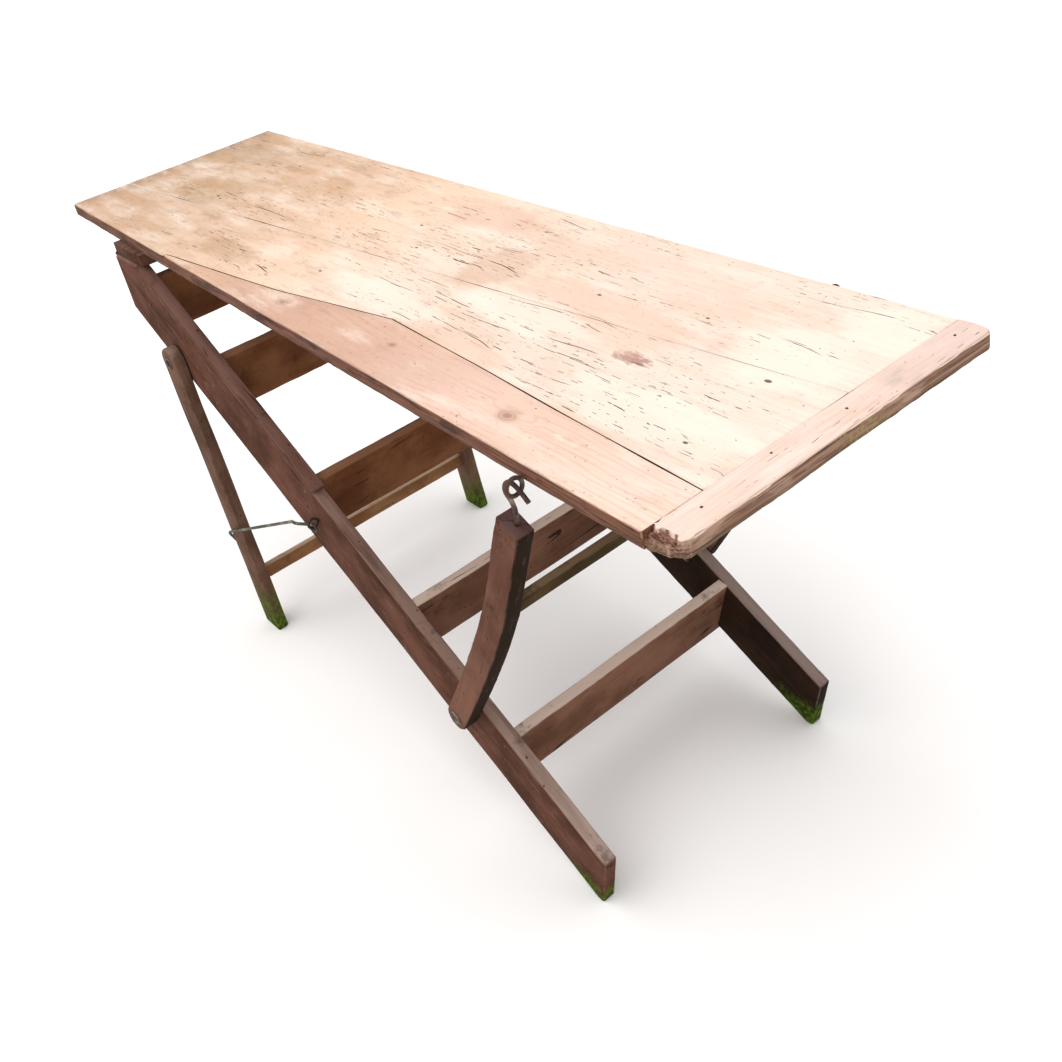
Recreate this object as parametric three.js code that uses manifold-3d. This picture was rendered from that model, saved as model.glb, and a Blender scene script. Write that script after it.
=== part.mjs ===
// Folding trestle table: a tapered plank top hinged to a sloping ladder frame, with folding legs, bent struts and iron hooks.
// Millimetres, +Z up. +X runs from the hinged end to the breadboard end, +Y from the near long side to the far one.
import * as THREE from "three";
import { mergeVertices } from "three/addons/utils/BufferGeometryUtils.js";
import Module from "manifold-3d";

const wasm = await Module();
wasm.setup();

// ---- driving dimensions ----
const fit = 0.35; // clearance between pieces that touch
const topLength = 1700;
const topHeight = 795;
const topThick = 23;
const hingeEndWidth = 430;
const freeEndWidth = 512;
const breadboardWidth = 46;
const battenWidth = 117;
const battenThick = 22.5;
const overhang = 225; // top beyond the hinge end of the ladder

// Places along the ladder are measured from its hinge end.
const railThick = 22;
const railInset = 13.1; // outer face of a rail inside the top's edge at the eyes
const railUpperSlope = 0.581;
const railLowerSlope = 0.5564;
const railSeat = 78.6; // length of the level cut that carries the batten
const railEndDepth = 103.6; // depth of the ladder's high end
const footFlat = 12;
const footRise = 39; // the low end's nose beyond the point where the rail meets the floor
const stripThick = 10;
const stripRun = 571;
const boardThick = 19;
const boardDepth = 120;
const boardLean = 19; // degrees from plumb
const boardHouse = 9.5; // depth of the housing in the rail
const boardSteps = [0.10786, 0.26575, 0.48233, 0.68337, 0.8732]; // spread between the hinge end and the floor

const legThick = 22;
const legWidth = 54;
const legPivotRun = 161;
const legPivotLift = 30.8; // above the rail's lower edge
const legFootRun = 201;
const legBarHeight = 117;
const legBar = { deep: 27, thick: 14 };

const strutThick = 27;
const strutWidth = 42;
const strutPivotRun = 922;
const strutPivotDrop = 35.4; // below the rail's upper edge
const strutShape = [
  [0, 0],
  [51, 74],
  [93, 137],
  [145, 220],
  [194, 306],
  [226, 372],
  [274, 476],
];
const strutBar = { along: 187, up: 292, deep: 34, thick: 13, turn: 61 };
const barHouse = 10; // depth of the crossbars' mortises
const sideGap = 2; // washer gap between a rail and what turns on it

const pinRadius = 5;
const wire = 3.1; // hook wire radius
const eyeRadius = 10.9;
const eyeLevel = 5.5; // height of the eyes' shanks above the top's underside
const eyeDrop = 6; // the rings hang this far below their shanks
const eyeWire = 2.9;
const eyeRun = 1233;
const railEyeRun = 563;
const railEyeLift = 76.4; // above the rail's lower edge
const railEyeRadius = 8.5;
const railEyeWire = 2.4;
const strap = { wide: 15, thick: 2.2, barrel: 4, pin: 1.8, long: 59 };

// ---- derived places ----
const hingeX = -topLength / 2 + overhang;
const topUnder = topHeight - topThick;
const battenTop = topUnder - fit;
const battenUnder = battenTop - battenThick;
const railCut = battenUnder - 2 * fit;
const breadX = topLength / 2 - breadboardWidth;
const halfWidth = (x) =>
  hingeEndWidth / 2 +
  ((freeEndWidth - hingeEndWidth) / 2) * ((x + topLength / 2) / topLength);
const eyeX = hingeX + eyeRun;
const railOutside = halfWidth(eyeX) - railInset;
const railInside = railOutside - railThick;
const battenLength = 2 * railOutside - 10;
const sideInner = railOutside + sideGap;
const legOuter = sideInner + legThick;
const strutOuter = sideInner + strutThick;
const railUpper = (x) => railCut - railUpperSlope * (x - hingeX - railSeat);
const railUpperAt = (z) => hingeX + railSeat + (railCut - z) / railUpperSlope;
const railLower = (x) => railCut - railEndDepth - railLowerSlope * (x - hingeX);
const railLowerAt = (z) => hingeX + (railCut - railEndDepth - z) / railLowerSlope;
const footFloorX = railLowerAt(0);
const boardPlaces = boardSteps.map((step) => hingeX + step * (footFloorX - hingeX));
const stripEndX = hingeX + stripRun;
const legPivot = {
  x: hingeX + legPivotRun,
  z: railLower(hingeX + legPivotRun) + legPivotLift,
};
const legFootX = hingeX + legFootRun;
const strutPivot = {
  x: hingeX + strutPivotRun,
  z: railUpper(hingeX + strutPivotRun) - strutPivotDrop,
};
const strutCentres = strutShape.map(([x, z]) => [strutPivot.x + x, strutPivot.z + z]);
const railEye = { x: hingeX + railEyeRun, z: railLower(hingeX + railEyeRun) + railEyeLift };

// ---- materials ----
const paint = (color, roughness, metalness = 0) =>
  new THREE.MeshStandardMaterial({ color, roughness, metalness });
const topPine = paint(0xd3a982, 0.75);
const darkPine = paint(0x7a5b48, 0.8);
const boardPine = paint(0xa9805f, 0.8);
const iron = paint(0x4a3a30, 0.6, 0.8);

// ---- helpers ----
const table = new THREE.Group();
table.name = "folding_table";

function solid(geometry) {
  const bare = geometry.index ? geometry.toNonIndexed() : geometry.clone();
  const kept = new THREE.BufferGeometry().setAttribute(
    "position",
    bare.getAttribute("position"),
  );
  const merged = mergeVertices(kept, 1e-4);
  return new wasm.Manifold(
    new wasm.Mesh({
      numProp: 3,
      vertProperties: merged.attributes.position.array,
      triVerts: new Uint32Array(merged.index.array),
    }),
  );
}

function geometryOf(manifold) {
  const mesh = manifold.getMesh();
  const geometry = new THREE.BufferGeometry();
  geometry.setAttribute(
    "position",
    new THREE.BufferAttribute(new Float32Array(mesh.vertProperties), 3),
  );
  geometry.setIndex(new THREE.BufferAttribute(new Uint32Array(mesh.triVerts), 1));
  geometry.computeVertexNormals();
  return geometry;
}

function add(name, shape, material) {
  const geometry = shape.isBufferGeometry ? shape : geometryOf(shape);
  const mesh = new THREE.Mesh(geometry, material);
  mesh.name = name;
  table.add(mesh);
}

// An outline in x and z, drawn out between two y values.
function sideProfile(points, y0, y1) {
  const outline = new THREE.Shape(points.map(([x, z]) => new THREE.Vector2(x, z)));
  const geometry = new THREE.ExtrudeGeometry(outline, {
    depth: y1 - y0,
    bevelEnabled: false,
  });
  return geometry.rotateX(Math.PI / 2).translate(0, y1, 0);
}

// An outline in x and y, drawn out between two heights.
function planProfile(points, z0, z1) {
  const outline = new THREE.Shape(points.map(([x, y]) => new THREE.Vector2(x, y)));
  return new THREE.ExtrudeGeometry(outline, {
    depth: z1 - z0,
    bevelEnabled: false,
  }).translate(0, 0, z0);
}

function box(x0, x1, y0, y1, z0, z1) {
  return new THREE.BoxGeometry(x1 - x0, y1 - y0, z1 - z0).translate(
    (x0 + x1) / 2,
    (y0 + y1) / 2,
    (z0 + z1) / 2,
  );
}

// A turned piece on an axis along y: profile points are [radius, y].
function turned(profile, x, z, sides = 20) {
  return new THREE.LatheGeometry(
    profile.map(([r, y]) => new THREE.Vector2(r, y)),
    sides,
  ).translate(x, 0, z);
}

function cylinderY(x, z, radius, y0, y1, sides = 20) {
  return new THREE.CylinderGeometry(radius, radius, y1 - y0, sides).translate(
    x,
    (y0 + y1) / 2,
    z,
  );
}

// Round wire bent along points [x, y, z].
function wireAlong(points, radius, steps) {
  const curve = new THREE.CatmullRomCurve3(
    points.map((p) => new THREE.Vector3(...p)),
    false,
    "centripetal",
  );
  const section = new THREE.Shape();
  for (let i = 0; i < 10; i++) {
    const a = (i / 10) * 2 * Math.PI;
    const x = radius * Math.cos(a);
    const y = radius * Math.sin(a);
    if (i) section.lineTo(x, y);
    else section.moveTo(x, y);
  }
  return new THREE.ExtrudeGeometry(section, {
    steps,
    extrudePath: curve,
    bevelEnabled: false,
  });
}

// The same piece on the far side: a mirror in y that keeps its faces outward.
function mirrored(shape) {
  return shape.mirror([0, 1, 0]);
}

function addPair(name, near, material) {
  add(name + "_near", near, material);
  add(name + "_far", mirrored(near), material);
}

// A band of a given width along a centre line in x and z, with its end square.
function bandOutline(centres, width) {
  const left = [];
  const right = [];
  centres.forEach(([x, z], i) => {
    const [ax, az] = centres[Math.max(i - 1, 0)];
    const [bx, bz] = centres[Math.min(i + 1, centres.length - 1)];
    const run = Math.hypot(bx - ax, bz - az);
    const nx = (-(bz - az) / run) * (width / 2);
    const nz = ((bx - ax) / run) * (width / 2);
    left.push([x + nx, z + nz]);
    right.push([x - nx, z - nz]);
  });
  return { left, right };
}

// A half round end about a pivot, from one direction angle through to the other.
function roundEnd(centre, radius, from, to, steps = 10) {
  return Array.from({ length: steps + 1 }, (_, i) => {
    const a = from + ((to - from) * i) / steps;
    return [centre.x + radius * Math.cos(a), centre.z + radius * Math.sin(a)];
  });
}

// ---- the top ----
const seam = (x) => -98 + 0.0946 * (x + 821);
const seamGap = 0.6;
const crackGap = 1.8;
const wedgeTipX = -400;
// The bent joint of the near wedge plank, from its tip to the breadboard end.
const crackLine = [
  [wedgeTipX, -halfWidth(wedgeTipX) + 6],
  [-193, -196],
  [-82, -182],
  [172, -135],
  [381, -146],
  [554, -157],
  [breadX - seamGap, -170],
];
const plankEnd = breadX - seamGap;
const eyeBore = (side) =>
  solid(
    cylinderY(
      eyeX,
      topUnder + eyeLevel,
      eyeWire + fit,
      side < 0 ? -halfWidth(eyeX) - 5 : halfWidth(eyeX) - 24,
      side < 0 ? -halfWidth(eyeX) + 24 : halfWidth(eyeX) + 5,
      12,
    ),
  );

const nearWedge = planProfile(
  [
    [wedgeTipX, -halfWidth(wedgeTipX)],
    [plankEnd, -halfWidth(plankEnd)],
    ...crackLine.slice().reverse(),
  ],
  topUnder,
  topHeight,
);
add("top_near_wedge", solid(nearWedge).subtract(eyeBore(-1)), topPine);

const middlePlank = planProfile(
  [
    [-topLength / 2, -halfWidth(-topLength / 2)],
    [wedgeTipX - crackGap, -halfWidth(wedgeTipX - crackGap)],
    [wedgeTipX - crackGap, crackLine[0][1] + crackGap],
    ...crackLine.slice(1).map(([x, y]) => [x, y + crackGap]),
    [plankEnd, seam(plankEnd) - seamGap / 2],
    [-topLength / 2, seam(-topLength / 2) - seamGap / 2],
  ],
  topUnder,
  topHeight,
);
add("top_middle_plank", middlePlank, topPine);

const farPlank = planProfile(
  [
    [-topLength / 2, seam(-topLength / 2) + seamGap / 2],
    [plankEnd, seam(plankEnd) + seamGap / 2],
    [plankEnd, halfWidth(plankEnd)],
    [-topLength / 2, halfWidth(-topLength / 2)],
  ],
  topUnder,
  topHeight,
);
add("top_far_plank", solid(farPlank).subtract(eyeBore(1)), topPine);

// The breadboard end: its far corner is worn round and its near corner is broken away.
const endX = topLength / 2;
const cornerRound = 13;
const breadboard = planProfile(
  [
    [breadX, -halfWidth(breadX) + 3],
    [breadX + 12, -halfWidth(breadX) + 6],
    [endX - 18, -halfWidth(endX) + 8],
    [endX - 4, -halfWidth(endX) + 16],
    [endX, -halfWidth(endX) + 22],
    ...roundEnd(
      { x: endX - cornerRound, z: halfWidth(endX) - cornerRound },
      cornerRound,
      0,
      Math.PI / 2,
      5,
    ),
    [breadX, halfWidth(breadX)],
  ],
  topUnder,
  topHeight,
);
add("top_breadboard_end", breadboard, topPine);

add(
  "top_batten",
  box(hingeX, hingeX + battenWidth, -battenLength / 2, battenLength / 2, battenUnder, battenTop),
  darkPine,
);

// ---- the ladder ----
const slopeAngle = Math.atan(railUpperSlope);
const lean = THREE.MathUtils.degToRad(boardLean);

// A crossboard's section: its upper free-end corner lies on the rails' upper edge.
function boardSection(x, grow = 0) {
  const along = [Math.cos(lean), -Math.sin(lean)];
  const down = [-Math.sin(lean), -Math.cos(lean)];
  const corner = (a, d) => [
    x + along[0] * a + down[0] * d,
    railUpper(x) + along[1] * a + down[1] * d,
  ];
  return [
    corner(grow, -grow - (grow ? 12 : 0)),
    corner(-boardThick - grow, -grow - (grow ? 12 : 0)),
    corner(-boardThick - grow, boardDepth + grow),
    corner(grow, boardDepth + grow),
  ];
}

boardPlaces.forEach((x, i) => {
  const reach = railInside + boardHouse;
  add("crossboard_" + i, sideProfile(boardSection(x), -reach, reach), boardPine);
});

const footTipX = footFloorX + footRise;
const railOutline = [
  [hingeX, railLower(hingeX)],
  [footFloorX, 0],
  [footFloorX + footFlat, 0],
  [footTipX, railUpper(footTipX)],
  [railUpperAt(railCut), railCut],
  [hingeX, railCut],
];
const turnBore = (at) =>
  solid(cylinderY(at.x, at.z, pinRadius + fit, -railOutside - 60, -railInside + 30));
const railEyeEnd = -railInside - 6; // tip of the eye's shank inside the rail
const railEyeBore = solid(
  cylinderY(railEye.x, railEye.z, railEyeWire + fit, -railOutside - 5, railEyeEnd + 2, 12),
);
let rail = solid(sideProfile(railOutline, -railOutside, -railInside));
for (const x of boardPlaces) {
  rail = rail.subtract(
    solid(sideProfile(boardSection(x, fit), -railInside - boardHouse - fit, -railInside + 5)),
  );
}
rail = rail.subtract(turnBore(legPivot)).subtract(turnBore(strutPivot)).subtract(railEyeBore);
addPair("rail", rail, darkPine);

// A strip along the top of each rail, from the hinge end to a square step.
const stripLift = stripThick / Math.cos(slopeAngle);
const gapLift = fit / Math.cos(slopeAngle);
const stripRise = [Math.sin(slopeAngle), Math.cos(slopeAngle)];
const strip = solid(
  sideProfile(
    [
      [railUpperAt(railCut - gapLift), railCut],
      [stripEndX + stripRise[0] * fit, railUpper(stripEndX) + stripRise[1] * fit],
      [
        stripEndX + stripRise[0] * (fit + stripThick),
        railUpper(stripEndX) + stripRise[1] * (fit + stripThick),
      ],
      [railUpperAt(railCut - gapLift - stripLift), railCut],
    ],
    -railOutside,
    -railInside,
  ),
);
addPair("rail_strip", strip, darkPine);

// ---- strap hinges at the ladder's high end ----
const hingeAxis = {
  x: hingeX - fit - strap.thick - strap.barrel / 2,
  z: battenUnder - fit,
};
const leafFar = hingeX - fit;
const leafNear = leafFar - strap.thick;
const strapOuter = -battenLength / 2 + 0.5;
const knuckle = strap.wide / 3;
const barrelAt = (i) => [
  strapOuter + i * knuckle + (i ? fit / 2 : 0),
  strapOuter + (i + 1) * knuckle - (i < 2 ? fit / 2 : 0),
];
const barrel = (i) => solid(cylinderY(hingeAxis.x, hingeAxis.z, strap.barrel, ...barrelAt(i), 18));
const barrelWeb = (i, z0, z1) => solid(box(leafNear, leafFar, ...barrelAt(i), z0, z1));
const hingeBore = solid(
  cylinderY(hingeAxis.x, hingeAxis.z, strap.pin + fit, strapOuter - 5, strapOuter + strap.wide + 5, 14),
);
const leafGap = strap.barrel + fit;

const lowerLeaf = solid(
  box(
    leafNear,
    leafFar,
    strapOuter,
    strapOuter + strap.wide,
    hingeAxis.z - strap.long,
    hingeAxis.z - leafGap,
  ),
)
  .add(barrelWeb(0, hingeAxis.z - leafGap - 1, hingeAxis.z))
  .add(barrelWeb(2, hingeAxis.z - leafGap - 1, hingeAxis.z))
  .add(barrel(0))
  .add(barrel(2))
  .subtract(hingeBore);
addPair("hinge_ladder_leaf", lowerLeaf, iron);

const upperLeaf = solid(
  box(leafNear, leafFar, strapOuter, strapOuter + strap.wide, hingeAxis.z + leafGap, battenTop - 1),
)
  .add(barrelWeb(1, hingeAxis.z, hingeAxis.z + leafGap + 1))
  .add(barrel(1))
  .subtract(hingeBore);
addPair("hinge_top_leaf", upperLeaf, iron);

const hingePin = solid(
  turned(
    [
      [0, strapOuter - 2],
      [strap.pin + 0.9, strapOuter - 2],
      [strap.pin + 0.9, strapOuter - 0.4],
      [strap.pin, strapOuter - 0.4],
      [strap.pin, strapOuter + strap.wide + 0.6],
      [0, strapOuter + strap.wide + 0.6],
    ],
    hingeAxis.x,
    hingeAxis.z,
    14,
  ),
);
addPair("hinge_pin", hingePin, iron);

// ---- the leg frame ----
const legAngle = Math.atan2(legPivot.z, legPivot.x - legFootX); // direction from foot to pivot
const legSide = [Math.sin(legAngle) * (legWidth / 2), -Math.cos(legAngle) * (legWidth / 2)];
const halfFoot = legWidth / 2 / Math.sin(legAngle);
const legOutline = [
  [legFootX - halfFoot, 0],
  [legFootX + halfFoot, 0],
  ...roundEnd(legPivot, legWidth / 2, legAngle - Math.PI / 2, legAngle + Math.PI / 2, 12),
];
const legBarX = legPivot.x + ((legPivot.z - legBarHeight) / legPivot.z) * (legFootX - legPivot.x);
function barSection(x, z, angle, deep, thick, grow = 0) {
  const a = [Math.cos(angle), Math.sin(angle)];
  const b = [Math.sin(angle), -Math.cos(angle)];
  const corner = (p, q) => [x + a[0] * p + b[0] * q, z + a[1] * p + b[1] * q];
  const d = deep / 2 + grow;
  const t = thick / 2 + grow;
  return [corner(-d, -t), corner(-d, t), corner(d, t), corner(d, -t)];
}
const legBarSection = (grow) =>
  barSection(legBarX, legBarHeight, legAngle, legBar.deep, legBar.thick, grow);
const leg = solid(sideProfile(legOutline, -legOuter, -sideInner))
  .subtract(turnBore(legPivot))
  .subtract(solid(sideProfile(legBarSection(fit), -sideInner - barHouse - fit, -sideInner + 5)));
addPair("leg", leg, darkPine);
const legReach = sideInner + barHouse;
add("leg_crossbar", sideProfile(legBarSection(0), -legReach, legReach), boardPine);

// A pin with a domed head outside and a riveted end inside the rail.
function pivotPin(at, outer, head) {
  return solid(
    turned(
      [
        [0, -outer - fit - 4.2],
        [head * 0.55, -outer - fit - 3.8],
        [head * 0.9, -outer - fit - 2.2],
        [head, -outer - fit],
        [pinRadius, -outer - fit],
        [pinRadius, -railInside + fit],
        [pinRadius + 3, -railInside + fit],
        [pinRadius + 3, -railInside + fit + 2.5],
        [pinRadius, -railInside + fit + 4],
        [0, -railInside + fit + 4.4],
      ],
      at.x,
      at.z,
    ),
  );
}
addPair("leg_pivot_pin", pivotPin(legPivot, legOuter, 8.5), iron);

// ---- the strut frame ----
const strutStart = Math.atan2(strutShape[1][1], strutShape[1][0]);
const strutBand = bandOutline(strutCentres, strutWidth);
const strutOutline = [
  ...roundEnd(strutPivot, strutWidth / 2, strutStart + Math.PI / 2, strutStart + 1.5 * Math.PI, 12),
  ...strutBand.right.slice(1),
  ...strutBand.left.slice(1).reverse(),
];
const strutBarSection = (grow) =>
  barSection(
    strutPivot.x + strutBar.along,
    strutPivot.z + strutBar.up,
    THREE.MathUtils.degToRad(strutBar.turn),
    strutBar.deep,
    strutBar.thick,
    grow,
  );
// The hook's stem goes into the strut's end, along the end's own direction.
const strutEnd = strutCentres[strutCentres.length - 1];
const strutBefore = strutCentres[strutCentres.length - 2];
const endAngle = Math.atan2(strutEnd[1] - strutBefore[1], strutEnd[0] - strutBefore[0]);
const hookY = -(sideInner + strutThick / 2);
const hookAcross = 3; // the stem stands this far towards the free end from the strut's middle
const alongEnd = (s) => [
  strutEnd[0] + Math.cos(endAngle) * s + Math.sin(endAngle) * hookAcross,
  strutEnd[1] + Math.sin(endAngle) * s - Math.cos(endAngle) * hookAcross,
];
const stemPoint = (s) => [alongEnd(s)[0], hookY, alongEnd(s)[1]];
const stemBore = solid(wireAlong([stemPoint(-26), stemPoint(-13), stemPoint(6)], wire + fit, 2));
const strut = solid(sideProfile(strutOutline, -strutOuter, -sideInner))
  .subtract(turnBore(strutPivot))
  .subtract(solid(sideProfile(strutBarSection(fit), -sideInner - barHouse - fit, -sideInner + 5)))
  .subtract(stemBore);
addPair("strut", strut, darkPine);
const strutReach = sideInner + barHouse;
add("strut_crossbar", sideProfile(strutBarSection(0), -strutReach, strutReach), boardPine);
addPair("strut_bolt", pivotPin(strutPivot, strutOuter, 9.5), iron);

// ---- hooks and eyes ----
const eyeZ = topUnder + eyeLevel - eyeDrop;
const topEyeY = -(halfWidth(eyeX) + eyeRadius + eyeWire + 0.8);
const loopY = topEyeY + 1;
function screwEye(x, y, z, radius, wireRadius, shankEnd, drop = 0) {
  const ring = solid(
    new THREE.TorusGeometry(radius, wireRadius, 10, 24).rotateY(Math.PI / 2).translate(x, y, z),
  );
  const start = y + Math.sqrt(radius * radius - drop * drop);
  const shank = solid(cylinderY(x, z + drop, wireRadius, start, shankEnd, 10));
  return ring.add(shank);
}
const topEye = screwEye(
  eyeX,
  topEyeY,
  eyeZ,
  eyeRadius,
  eyeWire,
  -halfWidth(eyeX) + 22,
  eyeDrop,
);
addPair("top_eye", topEye, iron);

// The strut's hook rises from the end, bends back over and goes through the eye.
const strutHook = solid(
  wireAlong(
    [
      stemPoint(-25),
      stemPoint(-12),
      stemPoint(4),
      [eyeX - 25, hookY - 3, eyeZ - 46],
      [eyeX - 23, loopY + 5, eyeZ - 32],
      [eyeX - 24, loopY + 1, eyeZ - 18],
      [eyeX - 19, loopY, eyeZ - 4.5],
      [eyeX - 9, loopY, eyeZ + 2],
      [eyeX + 3, loopY, eyeZ],
      [eyeX + 12, loopY, eyeZ - 6],
      [eyeX + 21, loopY, eyeZ - 13],
    ],
    wire,
    44,
  ),
);
addPair("strut_hook", strutHook, iron);

const railEyeY = -railOutside - railEyeRadius - 3;
const railEyePiece = screwEye(
  railEye.x,
  railEyeY,
  railEye.z,
  railEyeRadius,
  railEyeWire,
  railEyeEnd,
);
addPair("rail_eye", railEyePiece, iron);

// The long hook hangs on the bottom of its eye, runs outside the leg and turns in behind it.
const hookPivot = { x: railEye.x, z: railEye.z - railEyeRadius };
const hookRing = 7;
const rodWire = railEyeWire + 0.4;
const knee = { x: railEye.x - 43, z: railEye.z - 5.6 };
const hookEndZ = railEye.z - 191; // height where the hook reaches the leg's back edge
const legMiddleAt = (z) => legPivot.x + ((legPivot.z - z) / legPivot.z) * (legFootX - legPivot.x);
const backX = legMiddleAt(hookEndZ) - legWidth / 2 - rodWire - 4.5;
const rodY = -legOuter - rodWire - 1.2;
const rodPoint = (t) => [
  knee.x + (backX + 13 - knee.x) * t,
  rodY,
  knee.z + (hookEndZ - knee.z) * t,
];
const rodRing = solid(
  new THREE.TorusGeometry(hookRing, railEyeWire, 10, 24)
    .rotateX(Math.PI / 2)
    .translate(hookPivot.x, railEyeY, hookPivot.z),
);
const rod = solid(
  wireAlong(
    [
      [hookPivot.x - hookRing + 0.5, railEyeY, hookPivot.z],
      [hookPivot.x - hookRing - 9, railEyeY - 4, hookPivot.z + 2.5],
      [hookPivot.x - hookRing - 24, rodY, hookPivot.z + 3.5],
      rodPoint(0),
      rodPoint(0.04),
      rodPoint(0.5),
      rodPoint(0.96),
      rodPoint(1),
      [backX + 2, rodY + 1, hookEndZ - 9],
      [backX - 1, rodY + 6, hookEndZ - 21],
      [backX, rodY + 11, hookEndZ - 35],
    ],
    rodWire,
    44,
  ),
);
addPair("leg_hook", rodRing.add(rod), iron);

export default table;
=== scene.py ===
import math

import bmesh
import bpy
from mathutils import Matrix, Vector, noise


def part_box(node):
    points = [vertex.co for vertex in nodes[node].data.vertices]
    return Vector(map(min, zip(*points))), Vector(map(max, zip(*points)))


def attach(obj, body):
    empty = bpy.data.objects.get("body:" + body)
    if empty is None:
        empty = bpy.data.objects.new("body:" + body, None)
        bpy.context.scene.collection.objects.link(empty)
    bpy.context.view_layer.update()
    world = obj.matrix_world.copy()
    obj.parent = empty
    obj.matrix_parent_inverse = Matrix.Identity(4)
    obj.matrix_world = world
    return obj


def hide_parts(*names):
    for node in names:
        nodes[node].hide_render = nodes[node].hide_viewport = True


noise.seed_set(7)  # the same wander on every run
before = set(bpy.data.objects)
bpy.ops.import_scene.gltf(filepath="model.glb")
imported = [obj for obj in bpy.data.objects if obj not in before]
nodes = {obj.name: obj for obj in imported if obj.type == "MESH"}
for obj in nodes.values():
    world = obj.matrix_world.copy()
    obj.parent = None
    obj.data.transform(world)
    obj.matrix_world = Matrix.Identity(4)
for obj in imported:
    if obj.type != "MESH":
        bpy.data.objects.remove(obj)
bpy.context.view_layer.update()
print("frame loaded")

camera = {
    "place": (1.58399, -0.84642, 1.51663),
    "right": (0.63246, 0.75622, -0.16771),
    "down": (0.29631, -0.43624, -0.84965),
    "lens": 42.519,
    "shift": (-0.03, -0.12),
}


def makeCamera(spec):
    right = Vector(spec["right"]).normalized()
    back = right.cross(-Vector(spec["down"])).normalized()
    up = back.cross(right)
    data = bpy.data.cameras.new("camera")
    data.sensor_width = 36
    data.lens = spec["lens"]
    data.shift_x, data.shift_y = spec["shift"]
    data.clip_start, data.clip_end = 0.05, 60
    seat = bpy.data.objects.new("camera", data)
    seat.matrix_world = Matrix.Translation(spec["place"]) @ Matrix((right, up, back)).transposed().to_4x4()
    bpy.context.scene.collection.objects.link(seat)
    bpy.context.scene.camera = seat


makeCamera(camera)
print("camera set")


# shader maths
def tint(text):
    parts = [int(text[i : i + 2], 16) / 255 for i in (1, 3, 5)]
    return tuple(c / 12.92 if c <= 0.04045 else ((c + 0.055) / 1.055) ** 2.4 for c in parts) + (1.0,)


class Signal:
    # one shader socket that can stand in a Python sum
    def __init__(self, finish, socket):
        self.finish, self.socket = finish, socket

    def sum(self, operation, first, second=None):
        values = {0: first} if second is None else {0: first, 1: second}
        kind = "ShaderNodeVectorMath" if self.socket.type == "VECTOR" else "ShaderNodeMath"
        return self.finish.node(kind, {"operation": operation}, values)

    def __add__(self, other):
        return self.sum("ADD", self, other)

    def __radd__(self, other):
        return self.sum("ADD", other, self)

    def __sub__(self, other):
        return self.sum("SUBTRACT", self, other)

    def __rsub__(self, other):
        return self.sum("SUBTRACT", other, self)

    def __mul__(self, other):
        return self.sum("MULTIPLY", self, other)

    def __rmul__(self, other):
        return self.sum("MULTIPLY", other, self)

    def __truediv__(self, other):
        return self.sum("DIVIDE", self, other)

    def abs(self):
        return self.sum("ABSOLUTE", self)

    def most(self, other):
        return self.sum("MAXIMUM", self, other)


class Finish:
    # one material and its nodes
    def __init__(self, name):
        self.material = bpy.data.materials.new(name)
        self.material.use_nodes = True
        self.tree = self.material.node_tree
        self.tree.nodes.clear()

    def node(self, kind, settings=None, values=None, out=0):
        made = self.tree.nodes.new(kind)
        for key, value in (settings or {}).items():
            if key == "stops":
                for i, (place, colour) in enumerate(value):
                    stop = made.color_ramp.elements[i] if i < 2 else made.color_ramp.elements.new(place)
                    stop.position, stop.color = place, colour
            else:
                setattr(made, key, value)
        for key, value in (values or {}).items():
            if isinstance(value, Signal):
                self.tree.links.new(value.socket, made.inputs[key])
            else:
                made.inputs[key].default_value = value
        return Signal(self, made.outputs[out]) if len(made.outputs) else None

    def place(self, turn=(0, 0, 0), shift=(0, 0, 0)):
        spot = self.node("ShaderNodeTexCoord", out="Object")
        return self.node("ShaderNodeMapping", {}, {"Vector": spot, "Rotation": turn, "Location": shift})

    def parts(self, vector):
        split = self.node("ShaderNodeSeparateXYZ", {}, {0: vector})
        outs = split.socket.node.outputs
        return [Signal(self, outs[i]) for i in range(3)]

    def facing(self):
        return self.parts(self.node("ShaderNodeTexCoord", out="Normal"))

    def mark(self, name):
        return self.node("ShaderNodeAttribute", {"attribute_name": name}, out="Fac")

    def noise(self, vector, stretch, detail, roughness=0.55):
        values = {"Vector": vector * stretch, "Scale": 1.0, "Detail": detail, "Roughness": roughness}
        return self.node("ShaderNodeTexNoise", {}, values)

    def band(self, value, low, high, start=0.0, end=1.0):
        values = {"Value": value, "From Min": low, "From Max": high, "To Min": start, "To Max": end}
        return self.node("ShaderNodeMapRange", {"interpolation_type": "SMOOTHSTEP"}, values)

    def mix(self, factor, first, second):
        settings = {"data_type": "RGBA", "blend_type": "MIX", "clamp_factor": True}
        return self.node("ShaderNodeMix", settings, {0: factor, 6: first, 7: second}, out=2)

    def ramp(self, value, stops):
        return self.node("ShaderNodeValToRGB", {"stops": stops}, {0: value})

    def spot(self, x, y, place, radius, edge=0.0):
        # 1 at a place on the board and 0 outside an oval round it
        dx, dy = (x - place[0]) / radius[0], (y - place[1]) / radius[1]
        return self.band(dx * dx + dy * dy, edge, 1.0, 1.0, 0.0)

    def close(self, colour, roughness, height, strength, depth, metallic=0.0, gloss=0.16):
        bump = self.node("ShaderNodeBump", {}, {"Strength": strength, "Distance": depth, "Height": height})
        values = {
            "Base Color": colour,
            "Roughness": roughness,
            "Normal": bump,
            "Metallic": metallic,
            "Specular IOR Level": gloss,
        }
        shader = self.node("ShaderNodeBsdfPrincipled", {}, values)
        self.node("ShaderNodeOutputMaterial", {}, {"Surface": shader})
        return self.material


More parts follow.
